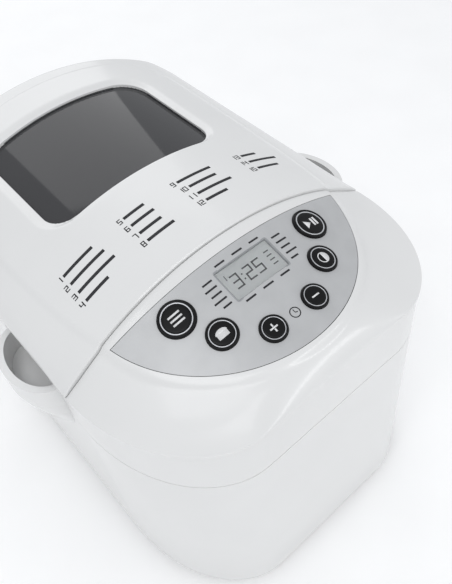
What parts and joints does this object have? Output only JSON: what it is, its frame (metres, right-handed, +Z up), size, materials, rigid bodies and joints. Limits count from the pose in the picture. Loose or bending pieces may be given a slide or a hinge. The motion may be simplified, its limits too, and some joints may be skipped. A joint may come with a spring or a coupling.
{
  "type": "bread machine",
  "caption": "Countertop bread machine with arched hinged lid, viewing window, half-moon control panel, lift-out bread pan, kneading paddle and belt drive.",
  "frame": {"origin": "centre of the bounding box's bottom face, on the plane that the feet stand on", "axes": "+Z up, -Y is the front with the control panel, +Y the hinge side, +X to the right as seen from the front"},
  "size_m": [0.308, 0.375, 0.2982],
  "materials": {
    "body_white": "satin",
    "lid_white": "satin",
    "base_plastic": "matt",
    "feet_rubber": "matt",
    "panel_silver": "satin",
    "button_black": "gloss",
    "lcd_clear": "gloss",
    "lcd_grey": "satin",
    "board_green": "satin",
    "dark_plastic": "matt",
    "zinc_steel": "satin",
    "chamber_steel": "satin",
    "heater_steel": "satin",
    "ceramic": "satin",
    "bronze": "satin",
    "belt_rubber": "matt",
    "pulley_plastic": "satin",
    "copper_core": "satin",
    "screw_steel": "gloss",
    "pan_coating": "satin",
    "liner_aluminium": "satin",
    "window_glass": "gloss",
    "clear_glass": "gloss",
    "gasket_grey": "matt",
    "cable_grey": "satin",
    "relay_blue": "satin"
  },
  "bodies": {
    "cabinet": {"base_pan": "base_plastic", "rubber_feet": "feet_rubber", "base_screws": "screw_steel", "housing_shell": "body_white", "finger_scoop_left": "body_white", "finger_scoop_right": "body_white", "cord_gland": "dark_plastic", "top_cover": "body_white", "control_panel": "panel_silver", "lcd_window": "lcd_clear", "lcd_module": "lcd_grey", "control_board": "board_green", "board_screws": "screw_steel", "tact_switches": "dark_plastic", "ribbon_cable": "cable_grey", "power_board": "board_green", "transformer": "copper_core", "board_components": "relay_blue", "deck_ring": "body_white", "baking_chamber": "chamber_steel", "chamber_screws": "screw_steel", "heat_shield": "zinc_steel", "heating_element": "heater_steel", "ceramic_bushes": "ceramic", "temperature_sensor": "zinc_steel", "thermal_fuse": "ceramic", "pan_socket": "liner_aluminium", "pan_clips": "zinc_steel", "chassis_frame": "zinc_steel", "shaft_bearing": "bronze", "motor_case": "zinc_steel", "motor_stator": "copper_core", "motor_bracket": "zinc_steel", "motor_screws": "screw_steel", "drive_belt": "belt_rubber", "hinge_brackets": "zinc_steel", "hinge_pins": "screw_steel"},
    "lid": {"lid_shell": "lid_white", "lid_liner": "liner_aluminium", "viewing_window": "window_glass", "window_gasket": "gasket_grey", "window_clamp": "dark_plastic", "inner_window": "clear_glass", "lid_screws": "screw_steel"},
    "pan": {"bread_pan": "pan_coating", "pan_bearing": "bronze"},
    "handle": {"pan_handle": "screw_steel"},
    "spindle": {"pan_shaft": "zinc_steel"},
    "paddle": {"kneading_paddle": "pan_coating"},
    "drive": {"drive_shaft": "zinc_steel", "drive_coupling": "liner_aluminium", "drive_pulley": "pulley_plastic"},
    "rotor": {"motor_rotor": "zinc_steel", "motor_pulley": "pulley_plastic"},
    "menu_button": {"menu_button": "button_black"},
    "loaf_button": {"loaf_button": "button_black"},
    "plus_button": {"plus_button": "button_black"},
    "minus_button": {"minus_button": "button_black"},
    "shade_button": {"shade_button": "button_black"},
    "start_button": {"start_button": "button_black"}
  },
  "joints": [
    {"name": "lid_hinge", "type": "hinge", "parent": "cabinet", "child": "lid", "pos_m": [0, 0.18, 0.2385], "axis": [-1, 0, 0], "range_deg": [0, 95]},
    {"name": "pan_lift", "type": "slide", "parent": "cabinet", "child": "pan", "axis": [0, 0, 1], "range_m": [0, 0.02]},
    {"name": "handle_swing", "type": "hinge", "parent": "pan", "child": "handle", "pos_m": [0, 0.045, 0.209], "axis": [-1, 0, 0], "range_deg": [0, 18]},
    {"name": "drive_spin", "type": "hinge", "parent": "cabinet", "child": "drive", "pos_m": [0, 0.045, 0.03], "axis": [0, 0, 1], "continuous": true},
    {"name": "spindle_spin", "type": "hinge", "parent": "pan", "child": "spindle", "pos_m": [0, 0.045, 0.06], "axis": [0, 0, 1], "continuous": true},
    {"name": "motor_spin", "type": "hinge", "parent": "cabinet", "child": "rotor", "pos_m": [0, -0.122, 0.08], "axis": [0, 0, 1], "continuous": true},
    {"name": "paddle_lift", "type": "slide", "parent": "spindle", "child": "paddle", "axis": [0, 0, 1], "range_m": [0, 0.06]},
    {"name": "menu_button_press", "type": "slide", "parent": "cabinet", "child": "menu_button", "axis": [0.2556, 0.2988, -0.9195], "range_m": [0, 0.0012], "stiffness_N_per_m": 400, "springref_m": -0.0008},
    {"name": "loaf_button_press", "type": "slide", "parent": "cabinet", "child": "loaf_button", "axis": [0.192, 0.3033, -0.9334], "range_m": [0, 0.0012], "stiffness_N_per_m": 400, "springref_m": -0.0008},
    {"name": "plus_button_press", "type": "slide", "parent": "cabinet", "child": "plus_button", "axis": [0.0787, 0.3081, -0.9481], "range_m": [0, 0.0012], "stiffness_N_per_m": 400, "springref_m": -0.0008},
    {"name": "minus_button_press", "type": "slide", "parent": "cabinet", "child": "minus_button", "axis": [-0.0787, 0.3081, -0.9481], "range_m": [0, 0.0012], "stiffness_N_per_m": 400, "springref_m": -0.0008},
    {"name": "shade_button_press", "type": "slide", "parent": "cabinet", "child": "shade_button", "axis": [-0.192, 0.3033, -0.9334], "range_m": [0, 0.0012], "stiffness_N_per_m": 400, "springref_m": -0.0008},
    {"name": "start_button_press", "type": "slide", "parent": "cabinet", "child": "start_button", "axis": [-0.2556, 0.2988, -0.9195], "range_m": [0, 0.0012], "stiffness_N_per_m": 400, "springref_m": -0.0008}
  ],
  "couplings": [
    {"joint": "spindle_spin", "follows": "drive_spin", "ratio": 1},
    {"joint": "motor_spin", "follows": "drive_spin", "ratio": 4.4}
  ]
}
